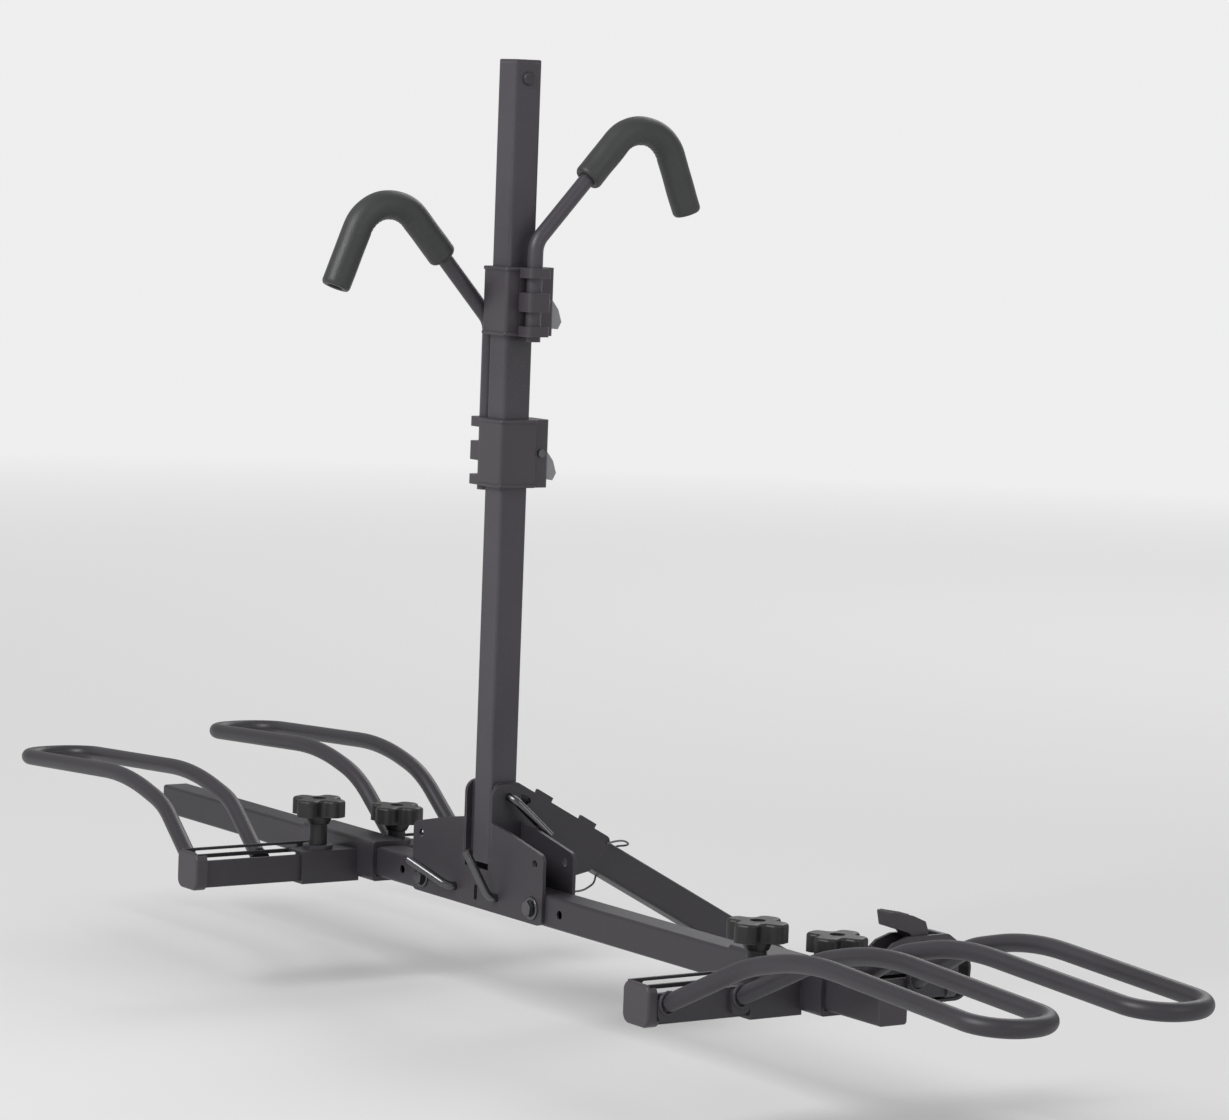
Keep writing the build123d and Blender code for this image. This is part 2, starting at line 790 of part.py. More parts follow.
def make_foam_grip(name, side, bottom, extra):
    places = [Vector(*p) for p in hook_places(side, bottom, extra)]
    rise = places[2] - places[1]
    start = places[1] + rise * foam_share
    fall = (places[4] - places[3]).normalized()
    with BuildPart() as foam:
        with BuildLine() as path:
            FilletPolyline(start, places[2], places[3], places[4] + fall * 4, radius=hook_crest_r)
        with BuildSketch(Plane(origin=path.line @ 0, z_dir=path.line % 0)):
            Circle(foam_r)
            Circle(rod_r + shaft_gap, mode=Mode.SUBTRACT)
        sweep()
    save(foam, name)


# The wheel strap on the far right bar: a band round the bar's end, a buckle and its paddle


def make_strap_band():
    top = bar_tall_top + strap_thickness / 2
    outer = far_inner + far_bar_length + bar_cap_wall
    low = bar_bottom - bar_cap_wall - strap_thickness / 2
    route = [(76, top), (outer + 17, top), (outer + 14, low), (106, low)]
    places = [point(strap_x, y, z) for y, z in route]
    with BuildPart() as band:
        with BuildLine() as path:
            FilletPolyline(*places, radius=[13, 15])
        with BuildSketch(Plane(origin=path.line @ 0, x_dir=(1, 0, 0), z_dir=path.line % 0)):
            Rectangle(strap_width, strap_thickness)
        sweep()
    save(band, "strap_band")


def make_strap_buckle():
    base = bar_tall_top + strap_thickness
    outline = [(72, base), (72, base + 4), (84, base + 14), (100, base + 19), (146, base + 19)]
    outline += [(166, base + 5), (166, base)]
    with BuildPart() as buckle:
        with BuildSketch(side_plane(strap_x - buckle_width / 2)):
            with BuildLine():
                Polyline(*outline, close=True)
            make_face()
            fillet(vertices().group_by(Axis.Y)[-1], radius=6)
        extrude(amount=buckle_width)
        with BuildSketch(side_plane(strap_x - paddle_width / 2 - side_gap)):
            with Locations((paddle_pivot_y - 11, base + 25)):
                Rectangle(buckle_pocket, 40)
        extrude(amount=paddle_width + 2 * side_gap, mode=Mode.SUBTRACT)
        with BuildSketch(side_plane(strap_x - buckle_width / 2 - 1, paddle_pivot_y, base + 13)):
            Circle(paddle_pin_r)
        extrude(amount=buckle_width + 2)
    save(buckle, "strap_buckle")


def make_strap_paddle():
    base = bar_tall_top + strap_thickness
    blade = [(-paddle_reach, 29), (-12, 24), (2, 18), (5.5, 9), (4, -3)]
    blade += [(-4, -3), (-16, 9), (-35, 15)]
    with BuildPart() as paddle:
        with BuildSketch(side_plane(strap_x - paddle_width / 2, paddle_pivot_y, base + 13)):
            with BuildLine():
                Polyline(*blade, close=True)
            make_face()
            fillet(vertices().sort_by(Axis.Y)[2:], radius=1.5)
            Circle(paddle_pin_r + 3)
        extrude(amount=paddle_width)
        with BuildSketch(side_plane(strap_x - paddle_width / 2, paddle_pivot_y, base + 13)):
            Circle(paddle_pin_r + shaft_gap)
        extrude(amount=paddle_width, mode=Mode.SUBTRACT)
    save(paddle, "strap_paddle")


def make_all():
    make_shank_tube()
    make_shank_bracket("shank_bracket_left", -1)
    make_shank_bracket("shank_bracket_right", 1)
    make_lanyard()
    make_platform_plate("rear_plate", 1)
    make_platform_plate("front_plate", -1)
    make_tall_plate("tall_plate_left", -1)
    make_tall_plate("tall_plate_right", 1)
    make_pivot_bolts()
    make_lock_pins()
    make_mast_tube()
    make_mast_cap()
    make_stop_bolt()
    for word, side in (("left", -1), ("right", 1)):
        make_arm(f"arm_{word}", side)
        make_arm_cap(f"arm_cap_{word}", side)
    make_sleeve("sleeve_left", left_sleeve_end, left_socket, 1)
    make_sleeve("sleeve_right", right_sleeve_end, right_socket, -1)
    bars = (
        ("near_left", left_bar_x, -1, near_left_inner, near_bar_length, -1, near_lift),
        ("near_right", right_bar_x, -1, near_right_inner, near_bar_length, -1, near_lift),
        ("far_left", left_bar_x, 1, far_inner, far_bar_length, -1, far_left_lift),
        ("far_right", right_bar_x, 1, far_inner, far_bar_length, 1, 0),
    )
    hoops = {
        "near_left": (near_left_leg, near_left_toe, near_left_rise),
        "near_right": (near_right_leg, near_right_toe, near_right_rise),
        "far_left": (far_left_leg, far_left_toe, far_left_rise),
        "far_right": (far_right_leg, far_right_toe, far_right_rise),
    }
    for word, bar_x, way, inner, length, tall, lift in bars:
        out = -1 if bar_x < 0 else 1
        leg, toe, rise = hoops[word]
        make_bar(f"bar_{word}", bar_x, way, inner, length, tall)
        make_bar_cap(f"bar_cap_{word}", bar_x, way, inner, length, out, leg)
        make_hoop(f"hoop_{word}", bar_x + out * bar_half, out, way * (inner + leg), toe, rise)
        make_hoop_bolts(f"hoop_bolts_{word}", bar_x + out * bar_half, out, way * (inner + leg))
        knob_x = bar_x - tall * knob_shift
        knob_y = way * (knob_near if way < 0 else knob_far)
        make_knob(f"knob_{word}", knob_x, knob_y, tight_stem + lift)
        make_knob_screw(f"knob_screw_{word}", knob_x, knob_y, tight_stem + lift, lift)
    clamps = (("upper", 1, upper_clamp_at, 0), ("lower", -1, lower_clamp_at, lower_hook_extra))
    for word, side, bottom, extra in clamps:
        make_clamp(f"{word}_clamp", side, bottom)
        make_lever(f"{word}_lever", bottom)
        make_lever_pin(f"{word}_lever_pin", bottom)
        make_hook_rod(f"{word}_hook", side, bottom, extra)
        make_foam_grip(f"{word}_foam", side, bottom, extra)
    make_strap_band()
    make_strap_buckle()
    make_strap_paddle()


make_all()
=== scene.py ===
import json
import math

import bmesh
import bpy
from mathutils import Matrix, Vector, noise


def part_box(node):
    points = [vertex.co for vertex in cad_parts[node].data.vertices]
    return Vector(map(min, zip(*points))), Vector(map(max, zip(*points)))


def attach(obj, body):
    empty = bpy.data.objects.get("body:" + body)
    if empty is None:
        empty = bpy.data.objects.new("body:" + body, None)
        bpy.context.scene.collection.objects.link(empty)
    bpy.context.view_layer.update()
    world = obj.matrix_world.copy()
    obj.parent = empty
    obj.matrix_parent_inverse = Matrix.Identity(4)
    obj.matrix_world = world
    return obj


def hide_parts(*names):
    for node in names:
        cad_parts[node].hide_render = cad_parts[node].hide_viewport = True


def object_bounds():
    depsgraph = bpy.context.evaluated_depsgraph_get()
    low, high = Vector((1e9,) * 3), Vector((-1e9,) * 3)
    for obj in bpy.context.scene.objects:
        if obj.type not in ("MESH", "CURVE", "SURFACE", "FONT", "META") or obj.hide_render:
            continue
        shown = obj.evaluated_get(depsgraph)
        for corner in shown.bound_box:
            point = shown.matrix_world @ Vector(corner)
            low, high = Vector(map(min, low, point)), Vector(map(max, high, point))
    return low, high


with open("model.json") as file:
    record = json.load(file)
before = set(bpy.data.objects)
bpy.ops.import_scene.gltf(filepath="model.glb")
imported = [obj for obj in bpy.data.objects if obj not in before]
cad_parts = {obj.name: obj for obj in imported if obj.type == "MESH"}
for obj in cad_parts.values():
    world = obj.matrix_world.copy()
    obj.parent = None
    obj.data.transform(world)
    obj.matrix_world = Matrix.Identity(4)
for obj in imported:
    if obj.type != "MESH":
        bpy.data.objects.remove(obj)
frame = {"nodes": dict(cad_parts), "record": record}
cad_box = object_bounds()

# Places given to at() and shank_at() are in millimetres from the rack's own centre,
# where the mast's axis crosses the centreline of the arms. All other lengths are in metres.
TILT = math.radians(28.71)
HOLE_AT = 0.340
SHANK_RISE = 0.0928
RACK = Vector((0, -HOLE_AT * math.cos(TILT), HOLE_AT * math.sin(TILT) - SHANK_RISE))

# Hoops: the bar's face in X, the way out, the first leg in Y, and the step to the second leg
HOOPS = {
    "near_left": (-254.0, -1, -110.0, -77.0),
    "near_right": (519.0, 1, -83.5, -77.0),
    "far_left": (-254.0, -1, 54.0, 77.0),
    "far_right": (519.0, 1, 32.0, 77.0),
}
SIDES = (("left", -1), ("right", 1))
ROUND_SIDES = 40

# Hook rods: the place in X, the foot of the slope, the level crest and the free end
HOOK_X = 29
HOOK_FOOT_Y = 5.3
HOOK_CREST_Y = (105, 148)
HOOK_CREST_RISE = 109
HOOK_END_Y = 178
HOOK_END_RISE = 35

# Foam grips: where the foam starts on the rod's slope, and how far it reaches past the rod
GRIP_SHARE = 0.56
GRIP_PAST_ROD = 0.004
GRIP_BEND_R = 0.0375
GRIP_R = 0.0139
GRIP_BORE_R = 0.0077
GRIP_STEP = 0.0016
GRIP_EDGE = 0.0035
GRIP_ROUNDING = 0.0016
GRIP_SWELL = 0.0004
GRIP_CREASE = 0.0005
CREASE_PITCH = 0.0068

# Weld beads: an oval round each leg of a hoop, and two straight runs on each side of the shank
BEAD_R = 0.0016
BEAD_SIDES = 10
HOOP_FOOT = 4.7
HOOP_BEAD_HALF_Y = 8.2
HOOP_BEAD_HALF_Z = 9.4
HOOP_BEAD_POINTS = 48
TUBE_FOOT_Z = -1.7
SHANK_FACE = 15.9
SHANK_BEAD_X = 15.7
SHANK_BEAD_START = 60
SHANK_BEAD_PITCH = 1.1
SHANK_BEAD_POINTS = 58

# Washers: bore radius, outer radius and thickness, then the places of the plates and bolts
ARM_WASHER = (0.0066, 0.0112, 0.0016)
BASE_WASHER = (0.0075, 0.0125, 0.0018)
PLATE_FACE = 18.8
ARM_BOLT_X = 97
TALL_PLATE_FACE = 24.275
BASE_BOLT_Z = 44

# Knobs: the length of each one's stem below its head, and the depths of the plug and the hub
KNOB_STEMS = {"near_left": 0.029, "near_right": 0.029, "far_left": 0.017, "far_right": 0.009}
PLUG_DEPTH = 0.0018
HUB_DEPTH = 0.0085

# Clamps: the height of each one's foot, and the rims counted from there
CLAMP_FEET = {"upper": 536, "lower": 391}
RIM_PLACES = (("top", 61.6), ("foot", 0.2))
RIM_HEIGHT = 3.2
RIM_CORNER = 0.0032

# Wheel strap: teeth under the band, and ribs along the paddle
STRAP_X = 505
STRAP_UNDER_Z = -26.0
TOOTH_START = 109
TOOTH_COUNT = 11
TOOTH_PITCH = 4
PADDLE_TOP = (82, 58.5)
PADDLE_LOW = (108, 53.5)
RIB_COUNT = 6
RIB_START = 0.12
RIB_PITCH = 0.14

CAMERA_AT = (3585.9, -2352.4, 733.8)
CAMERA_AHEAD = (-0.8216, 0.5619, -0.0965)
CAMERA_RIGHT = (0.5612, 0.8268, 0.0365)
LAMP_AIM = (150, 0, 250)
PALE = (0.86, 0.86, 0.86)
FLOOR_GAP = 0.001
FLOOR_RINGS = (0.001, 2, 5, 12, 40, 120)
FLOOR_SIDES = 64
WEAR_WIDTH = 0.0012


def at(x, y, z):
    return RACK + Vector((x, y, z)) * 0.001


def shank_at(x, along, off):
    y = along * math.cos(TILT) + off * math.sin(TILT)
    z = SHANK_RISE * 1000 - along * math.sin(TILT) + off * math.cos(TILT)
    return at(x, y, z)


def add_to_scene(made):
    bpy.context.scene.collection.objects.link(made)
    return made


# Materials


def link(tree, source, target):
    tree.links.new(source, target)


def patches(tree, place, scale, detail):
    node = tree.nodes.new("ShaderNodeTexNoise")
    node.inputs["Scale"].default_value = scale
    node.inputs["Detail"].default_value = detail
    link(tree, place, node.inputs["Vector"])
    return node.outputs["Fac"]


def cell_heights(tree, place, scale):
    node = tree.nodes.new("ShaderNodeTexVoronoi")
    node.inputs["Scale"].default_value = scale
    link(tree, place, node.inputs["Vector"])
    return node.outputs["Distance"]


def ramp(tree, value, low, high, start, end):
    node = tree.nodes.new("ShaderNodeMapRange")
    node.inputs["From Min"].default_value = start
    node.inputs["From Max"].default_value = end
    node.inputs["To Min"].default_value = low
    node.inputs["To Max"].default_value = high
    link(tree, value, node.inputs["Value"])
    return node.outputs["Result"]


def mixed(tree, factor, first, second):
    node = tree.nodes.new("ShaderNodeMix")
    node.data_type = "RGBA"
    link(tree, factor, node.inputs["Factor"])
    for value, socket in ((first, node.inputs[6]), (second, node.inputs[7])):
        if isinstance(value, tuple):
            socket.default_value = (*value, 1)
        else:
            link(tree, value, socket)
    return node.outputs[2]


def shade(color, amount):
    return tuple(min(1, c * amount) for c in color)


def edge_mask(tree, place):
    # Where the rounded normal leaves the face's own, an edge is near, and it wears in spots
    bevel = tree.nodes.new("ShaderNodeBevel")
    bevel.samples = 4
    bevel.inputs["Radius"].default_value = WEAR_WIDTH
    face = tree.nodes.new("ShaderNodeNewGeometry")
    dot = tree.nodes.new("ShaderNodeVectorMath")
    dot.operation = "DOT_PRODUCT"
    link(tree, bevel.outputs["Normal"], dot.inputs[0])
    link(tree, face.outputs["Normal"], dot.inputs[1])
    near = ramp(tree, dot.outputs["Value"], 1, 0, 0.80, 0.99)
    spots = ramp(tree, patches(tree, place, 60, 4), 0, 1, 0.42, 0.62)
    both = tree.nodes.new("ShaderNodeMath")
    both.operation = "MULTIPLY"
    link(tree, near, both.inputs[0])
    link(tree, spots, both.inputs[1])
    return both.outputs["Value"]


def finish(
    name, color, rough, metal=0.0, grain=1200, bump=0.25, depth=0.0002, patch=0.14, worn=None, cells=False
):
    # patch is how far the tone strays from the color, and worn the color of the bare edges
    material = bpy.data.materials.new(name)
    material.use_nodes = True
    tree = material.node_tree
    shader = tree.nodes["Principled BSDF"]
    coords = tree.nodes.new("ShaderNodeTexCoord")
    place = coords.outputs["Object"]
    wide = ramp(tree, patches(tree, place, 9, 6), 0, 1, 0.3, 0.7)
    tone = mixed(tree, wide, shade(color, 1 - patch), shade(color, 1 + patch))
    speck = ramp(tree, patches(tree, place, grain * 0.4, 3), 0, 1, 0.55, 0.8)
    tone = mixed(tree, speck, tone, shade(color, 1 + 1.6 * patch))
    if worn:
        tone = mixed(tree, edge_mask(tree, place), tone, worn)
    link(tree, tone, shader.inputs["Base Color"])
    link(tree, ramp(tree, wide, rough - 0.05, rough + 0.07, 0, 1), shader.inputs["Roughness"])
    shader.inputs["Metallic"].default_value = metal
    height = cell_heights(tree, place, grain) if cells else patches(tree, place, grain, 3)
    relief = tree.nodes.new("ShaderNodeBump")
    relief.inputs["Strength"].default_value = bump
    relief.inputs["Distance"].default_value = depth
    link(tree, height, relief.inputs["Height"])
    link(tree, relief.outputs["Normal"], shader.inputs["Normal"])
    return material


COAT = (0.034, 0.0305, 0.0365)
STEEL = (0.12, 0.12, 0.125)
BLACK = (0.050, 0.044, 0.052)
KNOB = (0.016, 0.0150, 0.0155)
FOAM = (0.036, 0.037, 0.0375)
GREY = (0.28, 0.28, 0.29)
RUBBER = (0.020, 0.020, 0.022)
WIRE = (0.16, 0.16, 0.17)

FINISHES = {
    "powder_coat": finish("powder_coat", COAT, 0.43, worn=(0.11, 0.105, 0.11)),
    "zinc_steel": finish("zinc_steel", STEEL, 0.23, metal=1.0, grain=500, bump=0.15, patch=0.25),
    "black_plastic": finish(
        "black_plastic", BLACK, 0.42, grain=1800, bump=0.2, worn=(0.10, 0.095, 0.102)
    ),
    "knob_plastic": finish("knob_plastic", KNOB, 0.42, grain=1500, bump=0.3, worn=(0.08, 0.082, 0.078)),
    "foam": finish("foam", FOAM, 0.45, grain=700, bump=0.35, depth=0.0004, patch=0.20, cells=True),
    "grey_plastic": finish("grey_plastic", GREY, 0.42, grain=1500, bump=0.15, patch=0.06),
    "strap_rubber": finish("strap_rubber", RUBBER, 0.55, grain=900, bump=0.35, patch=0.2),
    "wire": finish("wire", WIRE, 0.42, metal=0.8, grain=2500, bump=0.4, patch=0.2),
}
# The powder coat made 1.5 times lighter for the mast and the hook rods: painted light on the upper parts,
# which wear the same paint
PAINTED_LIGHT_MAST_COAT = finish("powder_coat_mast_painted_light", shade(COAT, 1.5), 0.40, patch=0.22, worn=(0.15, 0.145, 0.155))
WELD = finish("weld", shade(COAT, 1.1), 0.42, grain=700, bump=0.6, depth=0.0005, patch=0.2)


def dress_nodes():
    slot_of = {part["node"]: part["material_slot"] for part in frame["record"]["subparts"]}
    for name, node in frame["nodes"].items():
        material = FINISHES[slot_of[name]]
        # The mast and the hook rods take the lighter copy of the coat, a painted highlight
        if name in ("mast_tube", "upper_hook", "lower_hook"):
            material = PAINTED_LIGHT_MAST_COAT
        if not node.data.materials:
            node.data.materials.append(None)
        for slot in node.material_slots:
            slot.material = material


# Mesh helpers


def ring_faces(count, sides, loop):
    faces = []
    for i in range(count if loop else count - 1):
        j = (i + 1) % count
        for k in range(sides):
            m = (k + 1) % sides
            faces.append((i * sides + k, i * sides + m, j * sides + m, j * sides + k))
    return faces


def piece(name, rings, loop, material, body):
    # A skin over rings of points: closed into a loop, or with a flat cap at each end
    sides = len(rings[0])
    vertices = [tuple(v) for ring in rings for v in ring]
    faces = ring_faces(len(rings), sides, loop)
    if not loop:
        faces.append(tuple(range(sides)))
        faces.append(tuple((len(rings) - 1) * sides + k for k in range(sides)))
    return mesh_piece(name, vertices, faces, material, body)


def mesh_piece(name, vertices, faces, material, body, smooth=True):
    mesh = bpy.data.meshes.new(name)
    mesh.from_pydata(vertices, [], faces)
    work = bmesh.new()
    work.from_mesh(mesh)
    bmesh.ops.recalc_face_normals(work, faces=work.faces)
    work.to_mesh(mesh)
    work.free()
    for polygon in mesh.polygons:
        polygon.use_smooth = smooth and len(polygon.vertices) < 5
    mesh.materials.append(material)
    made = add_to_scene(bpy.data.objects.new(name, mesh))
    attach(made, body)
    return made


def tracks(points, loop):
    # Each point with two directions square to the line, carried along it without a twist
    result = []
    side = None
    count = len(points)
    for i, place in enumerate(points):
        before = points[i - 1] if loop or i > 0 else place
        after = points[(i + 1) % count] if loop or i < count - 1 else place
        along = (after - before).normalized()
        if side is None:
            side = along.orthogonal().normalized()
        side = (side - along * side.dot(along)).normalized()
        result.append((place, side, along.cross(side)))
    return result


def ring_at(track, radius, sides):
    place, side, other = track
    turns = [2 * math.pi * k / sides for k in range(sides)]
    return [place + (side * math.cos(t) + other * math.sin(t)) * radius for t in turns]


def lathe(name, place, axis, profile, loop, slot, body):
    # profile holds pairs of radius and height along the axis
    side = axis.orthogonal().normalized()
    other = axis.cross(side)
    rings = [ring_at((place + axis * h, side, other), r, ROUND_SIDES) for r, h in profile]
    return piece(name, rings, loop, FINISHES[slot], body)


# Foam grips on the hooks


def straight(start, end):
    count = max(1, round((end - start).length / GRIP_STEP))
    return [start.lerp(end, k / count) for k in range(count)]


def rounded_line(corners):
    line = []
    last = corners[0]
    for before, corner, after in zip(corners, corners[1:], corners[2:]):
        back = (before - corner).normalized()
        on = (after - corner).normalized()
        half = back.angle(on) / 2
        start = corner + back * GRIP_BEND_R / math.tan(half)
        end = corner + on * GRIP_BEND_R / math.tan(half)
        centre = corner + (back + on).normalized() * GRIP_BEND_R / math.sin(half)
        line += straight(last, start)
        spoke = start - centre
        axis = spoke.cross(end - centre).normalized()
        sweep = math.pi - 2 * half
        count = max(2, round(sweep * GRIP_BEND_R / GRIP_STEP))
        line += [centre + Matrix.Rotation(sweep * k / count, 3, axis) @ spoke for k in range(count)]
        last = end
    return line + straight(last, corners[-1]) + [corners[-1]]


def foam_rings(line, sides):
    # The outside, rounded at both ends, swollen a little and creased inside the bends,
    # and then the bore on the way back
    rings = []
    total = sum((b - a).length for a, b in zip(line, line[1:]))
    done = 0.0
    all_tracks = tracks(line, False)
    for i, track in enumerate(all_tracks):
        place = line[i]
        if i:
            done += (place - line[i - 1]).length
        edge = min(done, total - done) / GRIP_EDGE
        rounding = GRIP_ROUNDING * (1 - min(1, edge)) ** 2
        curl = Vector((0, 0, 0))
        if 0 < i < len(line) - 1:
            curl = line[i - 1] + line[i + 1] - 2 * place
        inward = curl.normalized() if curl.length > 1e-5 else Vector((0, 0, 0))
        wave = 0.5 + 0.5 * math.cos(2 * math.pi * done / CREASE_PITCH)
        ring = []
        for k in range(sides):
            turn = 2 * math.pi * k / sides
            way = track[1] * math.cos(turn) + track[2] * math.sin(turn)
            facing = max(0, way.dot(inward)) ** 2
            swell = GRIP_SWELL * noise.noise((place + way * 0.014) * 45)
            radius = GRIP_R - rounding + swell - GRIP_CREASE * facing * wave
            ring.append(place + way * radius)
        rings.append(ring)
    bore = [ring_at(track, GRIP_BORE_R, sides) for track in reversed(all_tracks)]
    return rings + bore


def make_foam(word, side, bend):
    x = HOOK_X * side
    corners = [at(x, HOOK_FOOT_Y * side, bend)]
    corners += [at(x, y * side, bend + HOOK_CREST_RISE) for y in HOOK_CREST_Y]
    corners += [at(x, HOOK_END_Y * side, bend + HOOK_END_RISE)]
    corners[0] = corners[0].lerp(corners[1], GRIP_SHARE)
    corners[3] = corners[3] + (corners[3] - corners[2]).normalized() * GRIP_PAST_ROD
    rings = foam_rings(rounded_line(corners), ROUND_SIDES)
    grip = piece(f"grip_{word}", rings, True, FINISHES["foam"], f"{word}_hook")
    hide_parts(f"{word}_foam")


# Weld beads


def bead(name, points, loop, body):
    rings = []
    for i, track in enumerate(tracks(points, loop)):
        ripple = 1 + 0.16 * math.sin(i * 2.1) + 0.10 * noise.noise(track[0] * 300)
        rings.append(ring_at(track, BEAD_R * ripple, BEAD_SIDES))
    piece(name, rings, loop, WELD, body)


def make_hoop_welds():
    # The tube meets its foot at a slant, so the bead is taller than it is wide
    turns = [2 * math.pi * k / HOOP_BEAD_POINTS for k in range(HOOP_BEAD_POINTS)]
    oval = [(HOOP_BEAD_HALF_Y * math.cos(t), HOOP_BEAD_HALF_Z * math.sin(t)) for t in turns]
    for word, (face_x, out, leg, gauge) in HOOPS.items():
        x = face_x + out * HOOP_FOOT
        for number, y in enumerate((leg, leg + gauge)):
            points = [at(x, y + aside, TUBE_FOOT_Z + up) for aside, up in oval]
            bead(f"weld_{word}_{number}", points, True, f"bar_{word}")


def make_shank_welds():
    steps = [SHANK_BEAD_START + k * SHANK_BEAD_PITCH for k in range(SHANK_BEAD_POINTS)]
    for word, side in SIDES:
        for place, off in (("upper", SHANK_FACE), ("lower", -SHANK_FACE)):
            points = [shank_at(side * SHANK_BEAD_X, along, off) for along in steps]
            bead(f"weld_shank_{word}_{place}", points, False, "shank")


# Washers, plugs, hubs and rims


def washer(name, place, axis, inner, outer, thickness):
    rim = thickness * 0.3
    profile = [(inner, 0), (inner, thickness), (outer - rim, thickness), (outer, thickness - rim)]
    profile += [(outer, 0)]
    lathe(name, place, Vector(axis), profile, True, "zinc_steel", "platform")


def make_washers():
    for word, side in SIDES:
        for face, way in (("front", -1), ("rear", 1)):
            place = at(side * ARM_BOLT_X, way * PLATE_FACE, 0)
            washer(f"washer_{face}_{word}", place, (0, way, 0), *ARM_WASHER)
    for word, side in SIDES:
        place = at(side * TALL_PLATE_FACE, 0, BASE_BOLT_Z)
        washer(f"washer_base_{word}", place, (side, 0, 0), *BASE_WASHER)


def make_knob_details():
    plug = [(0.0068, -0.0041), (0.0068, -0.0030), (0.0060, -0.0021)]
    plug += [(0.0034, -PLUG_DEPTH), (0.0030, -0.0026)]
    hub = [(0.0088, 0.0004), (0.0142, 0.0004), (0.0140, -0.0015), (0.0122, -0.0050)]
    hub += [(0.0110, -HUB_DEPTH + 0.0008), (0.0104, -HUB_DEPTH), (0.0088, -HUB_DEPTH)]
    up = Vector((0, 0, 1))
    ends = {word: [Vector(corner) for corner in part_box(f"knob_{word}")] for word in KNOB_STEMS}
    for word, (low, high) in ends.items():
        middle = (low + high) / 2
        top = Vector((middle.x, middle.y, high.z))
        lathe(f"knob_plug_{word}", top, up, plug, False, "black_plastic", f"knob_{word}")
    for word, (low, high) in ends.items():
        middle = (low + high) / 2
        under = Vector((middle.x, middle.y, low.z + KNOB_STEMS[word]))
        lathe(f"knob_hub_{word}", under, up, hub, True, "knob_plastic", f"knob_{word}")


def rounded_square(middle, half):
    ring = []
    for x, y, start in ((1, 1, 0), (-1, 1, 90), (-1, -1, 180), (1, -1, 270)):
        centre = middle + Vector((x, y, 0)) * (half - RIM_CORNER)
        for k in range(7):
            turn = math.radians(start + 15 * k)
            ring.append(centre + Vector((math.cos(turn), math.sin(turn), 0)) * RIM_CORNER)
    return ring


def make_clamp_rims():
    # A raised band round the top and the foot of each clamp
    # Its section holds pairs: half the band's width in metres, and the height in millimetres
    section = ((0.0200, 0), (0.0209, 0), (0.0213, 0.5), (0.0213, 2.7))
    section += ((0.0209, RIM_HEIGHT), (0.0200, RIM_HEIGHT))
    for word, foot in CLAMP_FEET.items():
        for end, z in RIM_PLACES:
            rings = [rounded_square(at(0, 0, foot + z + rise), half) for half, rise in section]
            body = f"{word}_clamp"
            piece(f"rim_{word}_{end}", rings, True, FINISHES["black_plastic"], body)


# Ridges on the wheel strap


def ridges(name, places, half_width, foot, height, slot, body):
    # Each place is a middle point, the way along the strap and the way out of it
    vertices = []
    faces = []
    across = Vector((1, 0, 0))
    for middle, along, out in places:
        first = len(vertices)
        for end in (-1, 1):
            base = middle + across * half_width * end
            top = middle + across * (half_width - 0.0006) * end
            vertices.append(tuple(base - along * foot - out * 0.0004))
            vertices.append(tuple(top - along * foot * 0.45 + out * height))
            vertices.append(tuple(top + along * foot * 0.45 + out * height))
            vertices.append(tuple(base + along * foot - out * 0.0004))
        faces.append((first, first + 1, first + 2, first + 3))
        faces.append((first + 4, first + 5, first + 6, first + 7))
        for k in range(4):
            m = (k + 1) % 4
            faces.append((first + k, first + m, first + 4 + m, first + 4 + k))
    mesh_piece(name, vertices, faces, FINISHES[slot], body, smooth=False)


def make_strap_details():
    along = Vector((0, 1, 0))
    down = Vector((0, 0, -1))
    steps = [TOOTH_START + TOOTH_PITCH * k for k in range(TOOTH_COUNT)]
    teeth = [(at(STRAP_X, y, STRAP_UNDER_Z), along, down) for y in steps]
    ridges("strap_teeth", teeth, 0.0095, 0.0013, 0.0010, "strap_rubber", "bar_far_right")
    top = at(STRAP_X, *PADDLE_TOP)
    low = at(STRAP_X, *PADDLE_LOW)
    run = (low - top).normalized()
    out = Vector((0, -run.z, run.y))
    ribs = [(top.lerp(low, RIB_START + RIB_PITCH * k), run, out) for k in range(RIB_COUNT)]
    ridges("paddle_ribs", ribs, 0.0085, 0.0010, 0.0008, "black_plastic", "strap_paddle")


# The lanyard wire on the shank bracket


def make_lanyard():
    route = [(20.4, 119, 42), (26, 131, 46), (22, 144, 41), (8, 151, 36), (-10, 150, 33)]
    route += [(-23, 147, 24), (-24, 139, 10), (-14, 130, 1), (0, 119, 0), (12, 108, 0)]
    route += [(17, 94, -4), (10, 81, -5), (-3, 73, 1), (-12, 69, 12), (-15.25, 67, 22)]
    curve = bpy.data.curves.new("lanyard", "CURVE")
    curve.dimensions = "3D"
    spline = curve.splines.new("NURBS")
    spline.points.add(len(route) - 1)
    for spot, place in zip(spline.points, route):
        spot.co = (*at(*place), 1)
    spline.order_u = 3
    spline.use_endpoint_u = True
    spline.resolution_u = 12
    curve.bevel_depth = 0.001
    curve.bevel_resolution = 4
    curve.use_fill_caps = True
    curve.materials.append(FINISHES["wire"])
    wire = add_to_scene(bpy.data.objects.new("lanyard", curve))
    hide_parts("lanyard_wire")
    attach(wire, "shank")


# Camera, light and floor


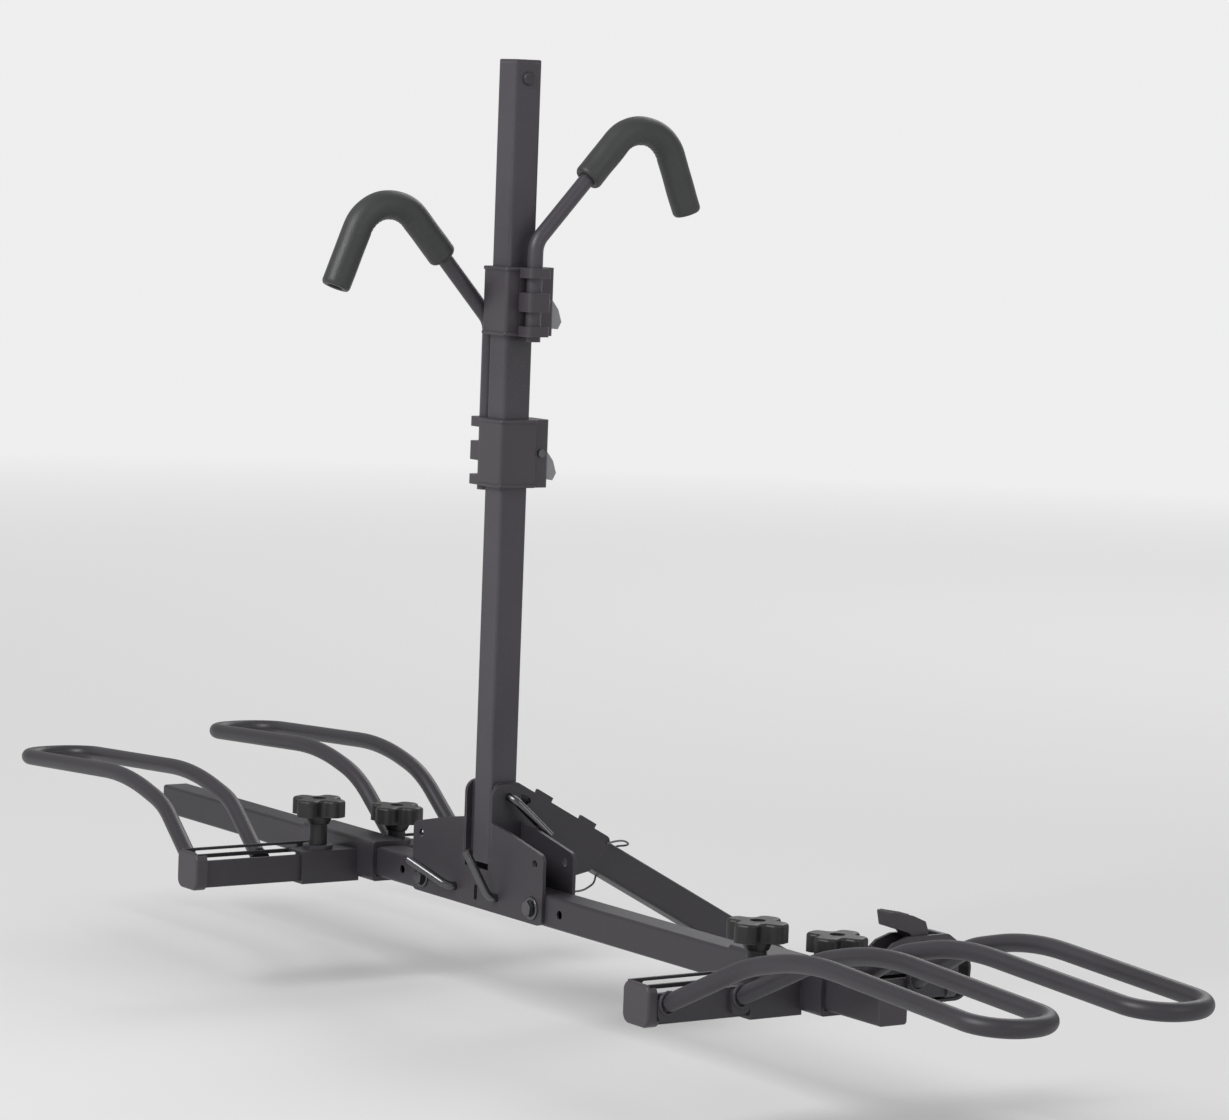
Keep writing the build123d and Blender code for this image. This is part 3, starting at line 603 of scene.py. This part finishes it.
def make_camera():
    lens = bpy.data.cameras.new("camera")
    lens.lens = 131.8
    lens.sensor_width = 36
    lens.shift_x = 0.0204
    lens.shift_y = 0.0045
    lens.clip_end = 200
    camera = add_to_scene(bpy.data.objects.new("camera", lens))
    ahead = Vector(CAMERA_AHEAD).normalized()
    right = Vector(CAMERA_RIGHT)
    right = (right - ahead * right.dot(ahead)).normalized()
    up = right.cross(ahead)
    turn = Matrix((right, up, -ahead)).transposed()
    camera.matrix_world = Matrix.Translation(at(*CAMERA_AT)) @ turn.to_4x4()
    bpy.context.scene.camera = camera


def soft_lamp(name, offset, size, power):
    data = bpy.data.lights.new(name, "AREA")
    data.shape = "SQUARE"
    data.size = size
    data.energy = power
    lamp = add_to_scene(bpy.data.objects.new(name, data))
    lamp.location = at(*LAMP_AIM) + Vector(offset)
    lamp.rotation_euler = (-Vector(offset)).to_track_quat("-Z", "Y").to_euler()


def make_light():
    soft_lamp("key", (0.3, -4.0, 3.0), 2.2, 150)
    soft_lamp("side", (4.2, 1.0, 2.4), 2.6, 26)
    soft_lamp("rear", (-2.5, 3.6, 2.8), 2.6, 55)
    world = bpy.data.worlds.new("world")
    bpy.context.scene.world = world
    world.use_nodes = True
    tree = world.node_tree
    seen = tree.nodes["Background"]
    seen.inputs["Color"].default_value = (*PALE, 1)
    seen.inputs["Strength"].default_value = 1
    fill = tree.nodes.new("ShaderNodeBackground")
    fill.inputs["Color"].default_value = (1, 1, 1, 1)
    fill.inputs["Strength"].default_value = 0.45
    rays = tree.nodes.new("ShaderNodeLightPath")
    join = tree.nodes.new("ShaderNodeMixShader")
    link(tree, rays.outputs["Is Camera Ray"], join.inputs["Fac"])
    link(tree, fill.outputs["Background"], join.inputs[1])
    link(tree, seen.outputs["Background"], join.inputs[2])
    link(tree, join.outputs["Shader"], tree.nodes["World Output"].inputs["Surface"])


def floor_finish():
    # Pale and matt under the rack, and the background's own tone far away
    material = bpy.data.materials.new("floor")
    material.use_nodes = True
    tree = material.node_tree
    shader = tree.nodes["Principled BSDF"]
    shader.inputs["Base Color"].default_value = (0.80, 0.80, 0.80, 1)
    shader.inputs["Roughness"].default_value = 0.9
    shader.inputs["Specular IOR Level"].default_value = 0.1
    coords = tree.nodes.new("ShaderNodeTexCoord")
    reach = tree.nodes.new("ShaderNodeVectorMath")
    reach.operation = "LENGTH"
    link(tree, coords.outputs["Object"], reach.inputs[0])
    far = ramp(tree, reach.outputs["Value"], 0, 1, 1.2, 7)
    glow = tree.nodes.new("ShaderNodeEmission")
    glow.inputs["Color"].default_value = (*PALE, 1)
    join = tree.nodes.new("ShaderNodeMixShader")
    link(tree, far, join.inputs["Fac"])
    link(tree, shader.outputs["BSDF"], join.inputs[1])
    link(tree, glow.outputs["Emission"], join.inputs[2])
    link(tree, join.outputs["Shader"], tree.nodes["Material Output"].inputs["Surface"])
    return material


def make_floor():
    height = cad_box[0][2] - FLOOR_GAP
    turns = [2 * math.pi * k / FLOOR_SIDES for k in range(FLOOR_SIDES)]
    vertices = [(r * math.cos(t), r * math.sin(t), height) for r in FLOOR_RINGS for t in turns]
    mesh = bpy.data.meshes.new("floor")
    mesh.from_pydata(vertices, [], ring_faces(len(FLOOR_RINGS), FLOOR_SIDES, False))
    mesh.materials.append(floor_finish())
    add_to_scene(bpy.data.objects.new("floor", mesh))


bpy.context.scene.view_settings.view_transform = "Standard"
make_camera()
make_light()
make_floor()
dress_nodes()
make_foam("upper", 1, 625)
make_foam("lower", -1, 547)
make_hoop_welds()
make_shank_welds()
make_washers()
make_knob_details()
make_clamp_rims()
make_strap_details()
make_lanyard()
